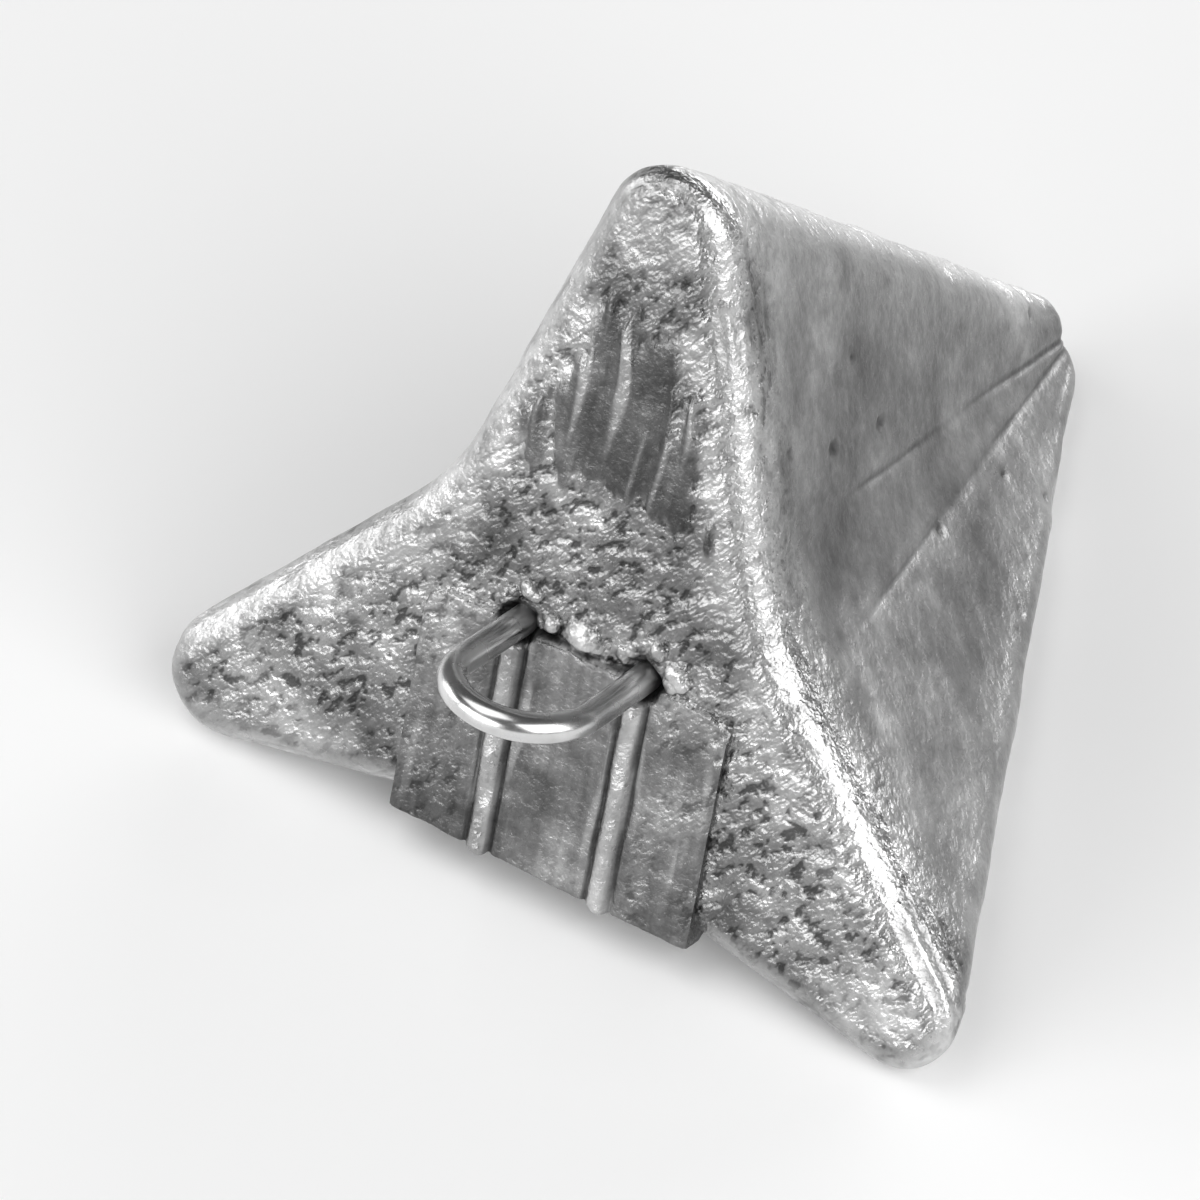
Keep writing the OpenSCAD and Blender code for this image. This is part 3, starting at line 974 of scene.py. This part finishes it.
WIRE_SIDES = 40
WIRE_FULLNESS = 0.985
WIRE_UNEVEN = 0.012
WIRE_UNEVEN_CELL = 3 * MM
FILM_FADE = (0.2 * MM, 1.6 * MM)
thickness = WIRE_FULLNESS + WIRE_UNEVEN * soft_noise(wire_line, WIRE_UNEVEN_CELL, "wire thickness")
wire_points, wire_quads, wire_caps, wire_length = tube(wire_line, WIRE_R * thickness[:, None], WIRE_SIDES)
wire_faces = wire_quads.tolist() + wire_caps.tolist()
wire = make_piece("wire_loop", laid_in_box(wire_points), wire_faces)
out_of_lead = ramp(-np.repeat(wire_line[:, 2], WIRE_SIDES), *FILM_FADE)
add_share(wire, "clean", np.concatenate([out_of_lead, [0, 0]]))
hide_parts("wire_eye")
print("wire", round(wire_length[-1] / MM, 1), "mm long")

# %% [markdown]
# ## Materials
#
# Cast lead is a dull grey metal. Its skin reflects in a soft, broken way, because it is rough at every
# scale. The mesh holds what is over a quarter of a millimetre, and the material's bump adds the rest. A
# picture of lead would fit one size and one side. Noise nodes run on over every edge, and the shares on
# the points say where each pattern fades.


# %% Helpers for node trees
def new_material(name):
    """An empty node material with a Principled shader."""
    material = bpy.data.materials.new(name)
    material.use_nodes = True
    return material, material.node_tree, material.node_tree.nodes["Principled BSDF"]


def add_node(tree, kind, sockets=(), **settings):
    """Adds a node, sets its options, and fills its inputs with numbers or with links from other nodes."""
    node = tree.nodes.new(kind)
    for name, value in settings.items():
        setattr(node, name, value)
    for name, value in dict(sockets).items():
        if isinstance(value, bpy.types.NodeSocket):
            tree.links.new(value, node.inputs[name])
        else:
            node.inputs[name].default_value = value
    return node


def add_ramp(tree, factor, stops):
    """A grey ramp: stops are pairs of place and brightness."""
    node = add_node(tree, "ShaderNodeValToRGB", {"Fac": factor})
    elements = node.color_ramp.elements
    while len(elements) < len(stops):
        elements.new(0.5)
    for element, (place, grey) in zip(elements, stops):
        element.position = place
        element.color = (grey, grey, grey, 1)
    return node.outputs["Color"]


def add_math(tree, operation, a, b):
    """One step of arithmetic between two sockets or numbers."""
    return add_node(tree, "ShaderNodeMath", {0: a, 1: b}, operation=operation).outputs[0]


def add_noise(tree, place, scale, detail, roughness):
    """Noise between 0 and 1: the scale is the number of its cells in a metre."""
    sockets = {"Vector": place, "Scale": scale, "Detail": detail, "Roughness": roughness}
    return add_node(tree, "ShaderNodeTexNoise", sockets).outputs["Fac"]


def plus_share(tree, value, share, amount):
    """The value plus the share times the amount."""
    return add_math(tree, "ADD", value, add_math(tree, "MULTIPLY", share, amount))


def shaded(tree, value, factor, stops):
    """The value times a ramp of the factor."""
    return add_math(tree, "MULTIPLY", value, add_ramp(tree, factor, stops))


def add_bump(tree, shader, height, strength, distance):
    """Small relief: the height tilts the shader's normal."""
    bump = add_node(tree, "ShaderNodeBump", {"Height": height, "Strength": strength, "Distance": distance})
    tree.links.new(bump.outputs["Normal"], shader.inputs["Normal"])


# %% Patterns of the lead
CRINKLE_TURN = -DRAW_ANGLE
STREAK_SCALE = (9.0, 0.5, 0.5)
LEAD_NOISES = {
    "cloud": (260.0, 5.0, 0.6),
    "speck": (1800.0, 4.0, 0.7),
    "stain": (90.0, 4.0, 0.55),
    "streak": (260.0, 3.0, 0.5),
    "crinkle": (2100.0, 2.0, 0.6),
}


def lead_patterns(tree):
    """The noises of the lead's skin by name: cells in a metre, layers, and how strong each next layer is.
    Streaks are pressed together along X, and the crinkle is drawn out the way that the grain is."""
    place = add_node(tree, "ShaderNodeTexCoord").outputs["Object"]
    pressed = add_node(tree, "ShaderNodeMapping", {"Vector": place, "Scale": STREAK_SCALE})
    turned = add_node(tree, "ShaderNodeMapping", {
        "Vector": place, "Rotation": (0.0, CRINKLE_TURN, 0.0), "Scale": (1.0, 1.0, DRAWN_OUT),
    }, vector_type="TEXTURE")
    places = {"streak": pressed.outputs["Vector"], "crinkle": turned.outputs["Vector"]}
    return {name: add_noise(tree, places.get(name, place), *noise) for name, noise in LEAD_NOISES.items()}


# %% Where the crinkle shows
SIDE_COVER = 0.9
SMOOTH_COVER = 0.8
WEAR_COVER = 0.6
RIDGE_OPENING = 1.12


def crinkle_share(tree, shares):
    """How much of the crinkle shows, from 0 to 1: little on the sides and on the smooth places. Wear covers
    it on the base, and opens it on the ridges."""
    covered = add_math(tree, "MULTIPLY", shares["side"], SIDE_COVER)
    covered = plus_share(tree, covered, shares["smooth"], SMOOTH_COVER)
    by_wear = plus_share(tree, WEAR_COVER, shares["side"], -RIDGE_OPENING)
    covered = plus_share(tree, covered, shares["wear_and_highlight"], by_wear)
    open_share = add_node(tree, "ShaderNodeMath", {0: 1.0, 1: covered}, operation="SUBTRACT", use_clamp=True)
    return open_share.outputs[0]


# %% The lead's grey
CLOUD_GREYS = [(0.32, 0.18), (0.5, 0.32), (0.68, 0.54)]
SPECK_GREYS = [(0.35, 0.78), (0.65, 1.0)]
STAIN_DARK = 0.5
STAIN_GREYS = [(0.38, STAIN_DARK), (0.58, 1.0)]
SIDE_PALER = 0.15
STREAK_GREYS = [(0.35, 0.72), (0.7, 1.0)]
# Painted shade darkens the sides and, with dirt, the sunk places; the gate's mark is darker in its own tone.
DARKEST_BY_SHADE_AND_TONE = {"shade_and_dirt": 0.25, "side": 0.74, "gate": 0.55}
HOLLOW_SHADE_GREY = 0.28
# Painted highlight with wear: how much the grey brightens where that share is full.
HIGHLIGHT_AND_WEAR_BRIGHTER = 0.36


def lead_grey(tree, patterns, shares, hollow_shade):
    """Clouds, specks and stains of oxide, with streaks on the smooth places. Painted shade and dirt
    darken the grey where the skin is sunk; painted shade darkens it on the sides and in the crinkle's
    hollows; the gate's mark is darker; a painted highlight with wear brightens it where it stands out."""
    grey = add_ramp(tree, patterns["cloud"], CLOUD_GREYS)
    grey = shaded(tree, grey, patterns["speck"], SPECK_GREYS)
    stained = add_ramp(tree, patterns["stain"], STAIN_GREYS)
    least = plus_share(tree, STAIN_DARK, shares["side"], SIDE_PALER)
    grey = add_math(tree, "MULTIPLY", grey, add_math(tree, "MAXIMUM", stained, least))
    streaked = shaded(tree, grey, patterns["streak"], STREAK_GREYS)
    grey = add_node(tree, "ShaderNodeMix", {"Factor": shares["smooth"], "A": grey, "B": streaked}).outputs[0]
    for name, darkest in DARKEST_BY_SHADE_AND_TONE.items():
        grey = shaded(tree, grey, shares[name], [(0.0, 1.0), (1.0, darkest)])
    grey = shaded(tree, grey, hollow_shade, [(0.0, 1.0), (1.0, HOLLOW_SHADE_GREY)])
    return plus_share(tree, grey, shares["wear_and_highlight"], HIGHLIGHT_AND_WEAR_BRIGHTER)


# %% The lead's gloss and relief
CRINKLE_SHADE_STOPS = [(0.38, 1.0), (0.47, 0.0)]
SPECK_DULL = [(0.35, 0.36), (0.65, 0.24)]
SUNK_DULLER = 0.15
WEAR_AND_HIGHLIGHT_DULLER = 0.03
CRINKLE_HEIGHT = 3.0
SPECK_HEIGHT = 0.8
SIDE_CALMER = 0.4
STREAK_HEIGHT = 0.7


def lead_material():
    """Grey cast lead, whose gloss is broken by specks, and whose relief is crinkle, specks and streaks."""
    material, tree, shader = new_material("cast_lead")
    patterns = lead_patterns(tree)
    shares = {
        name: add_node(tree, "ShaderNodeAttribute", attribute_name=name).outputs["Fac"]
        for name in lead_shares
    }
    open_share = crinkle_share(tree, shares)
    # Painted shade: the grey is darkened where the crinkle is low, in its hollows.
    hollow_shade = shaded(tree, open_share, patterns["crinkle"], CRINKLE_SHADE_STOPS)
    tree.links.new(lead_grey(tree, patterns, shares, hollow_shade), shader.inputs["Base Color"])
    shader.inputs["Metallic"].default_value = 1.0
    dull = add_ramp(tree, patterns["speck"], SPECK_DULL)
    dull = plus_share(tree, dull, shares["shade_and_dirt"], SUNK_DULLER)
    dull = plus_share(tree, dull, shares["wear_and_highlight"], WEAR_AND_HIGHLIGHT_DULLER)
    tree.links.new(dull, shader.inputs["Roughness"])

    crinkle = add_math(tree, "MULTIPLY", patterns["crinkle"], CRINKLE_HEIGHT)
    height = add_math(tree, "MULTIPLY", crinkle, open_share)
    speck_height = plus_share(tree, SPECK_HEIGHT, shares["side"], -SIDE_CALMER)
    height = plus_share(tree, height, patterns["speck"], speck_height)
    streaks_shown = add_math(tree, "MULTIPLY", patterns["streak"], shares["smooth"])
    height = plus_share(tree, height, streaks_shown, STREAK_HEIGHT)
    add_bump(tree, shader, height, strength=0.9, distance=0.1 * MM)
    return material


cast_lead = lead_material()
lead.data.materials.append(cast_lead)
patch_piece.data.materials.append(cast_lead)
print("lead of", len(cast_lead.node_tree.nodes), "nodes")

# %% [markdown]
# The wire is drawn steel: bright, with a slightly uneven gloss. Near the lead it carries a grey film.

# %% Wire
WIRE_SPOTS = (600.0, 3.0, 0.5)
WIRE_GREYS = [(0.3, 0.55), (0.55, 0.7), (0.8, 0.76)]
WIRE_DULL = [(0.3, 0.32), (0.7, 0.46)]
FILM_GREY = 0.65
CLEAN_GLOSSIER = 0.14


def wire_material():
    """Bright drawn wire with a dull film near the lead."""
    material, tree, shader = new_material("bright_wire")
    place = add_node(tree, "ShaderNodeTexCoord").outputs["Object"]
    clean = add_node(tree, "ShaderNodeAttribute", attribute_name="clean").outputs["Fac"]
    spots = add_noise(tree, place, *WIRE_SPOTS)
    film = plus_share(tree, FILM_GREY, clean, 1 - FILM_GREY)
    tree.links.new(shaded(tree, film, spots, WIRE_GREYS), shader.inputs["Base Color"])
    shader.inputs["Metallic"].default_value = 1.0
    dull = plus_share(tree, add_ramp(tree, spots, WIRE_DULL), clean, -CLEAN_GLOSSIER)
    tree.links.new(dull, shader.inputs["Roughness"])
    add_bump(tree, shader, spots, strength=0.15, distance=0.05 * MM)
    return material


bright_wire = wire_material()
wire.data.materials.append(bright_wire)
print("wire of", len(bright_wire.node_tree.nodes), "nodes")

# %% [markdown]
# ## Floor, light and camera
#
# A pale floor and soft boxes on all sides. Metal shows what it reflects: the low box in front gives the
# grain its sparkle, the one at the side brightens the rim, and the one behind brightens the top ridge.

# %% Floor
FLOOR_HALF = 0.6
FLOOR_GREY = 0.94
floor_mesh = bpy.data.meshes.new("floor")
floor_corners = [(x * FLOOR_HALF, y * FLOOR_HALF, 0) for x, y in ((-1, -1), (1, -1), (1, 1), (-1, 1))]
floor_mesh.from_pydata(floor_corners, [], [(0, 1, 2, 3)])
floor = add_object("floor", floor_mesh)
floor_material, _, floor_shader = new_material("pale_floor")
floor_shader.inputs["Base Color"].default_value = (FLOOR_GREY, FLOOR_GREY, FLOOR_GREY, 1)
floor_shader.inputs["Roughness"].default_value = 0.9
floor_shader.inputs["Specular IOR Level"].default_value = 0.1
floor.data.materials.append(floor_material)

# %% Lamps
# Each lamp has its place, its width and height, and its watts.
LAMP_AIM = Vector((0, 0, 0.012))
LAMPS = {
    "key": ((-0.2, -0.44, 0.15), (0.5, 0.24), 1.6),
    "side": ((0.4, -0.15, 0.29), (0.46, 0.46), 2.05),
    "top": ((-0.16, -0.1, 0.46), (0.35, 0.35), 0.72),
    "back": ((0.02, 0.48, 0.1), (0.7, 0.16), 1.95),
    "left": ((-0.46, -0.12, 0.12), (0.3, 0.16), 0.5),
}


def facing(direction):
    """The turn that makes a lamp or a camera look along a direction."""
    return direction.to_track_quat("-Z", "Y").to_euler()


for name, (place, size, watts) in LAMPS.items():
    data = bpy.data.lights.new(name, "AREA")
    data.shape = "RECTANGLE"
    data.size, data.size_y = size
    data.energy = watts
    lamp = add_object(name, data)
    lamp.location = place
    lamp.rotation_euler = facing(LAMP_AIM - Vector(place))
print(len(LAMPS), "soft boxes,", round(sum(watts for _, _, watts in LAMPS.values()), 2), "W in all")

# %% World
WORLD_GREY = 0.1
world = bpy.data.worlds.new("studio")
bpy.context.scene.world = world
world.use_nodes = True
world.node_tree.nodes["Background"].inputs["Color"].default_value = (WORLD_GREY, WORLD_GREY, WORLD_GREY, 1)
world.node_tree.nodes["Background"].inputs["Strength"].default_value = 1.0

# %% Camera
CAMERA_AZIMUTH = np.radians(34)
CAMERA_HEIGHT = np.radians(45)
CAMERA_DISTANCE = 0.36
CAMERA_AIM = Vector((-0.003, -0.0086, 0.0089))
LENS = 260
level = np.cos(CAMERA_HEIGHT)
way = Vector((np.sin(CAMERA_AZIMUTH) * level, -np.cos(CAMERA_AZIMUTH) * level, np.sin(CAMERA_HEIGHT)))
camera_data = bpy.data.cameras.new("camera")
camera_data.lens = LENS
camera_data.clip_start = 0.01
camera = add_object("camera", camera_data)
camera.location = CAMERA_AIM + way * CAMERA_DISTANCE
camera.rotation_euler = facing(-way)
bpy.context.scene.camera = camera
bpy.context.scene.view_settings.view_transform = "Standard"
print("camera at", [round(v, 3) for v in camera.location])
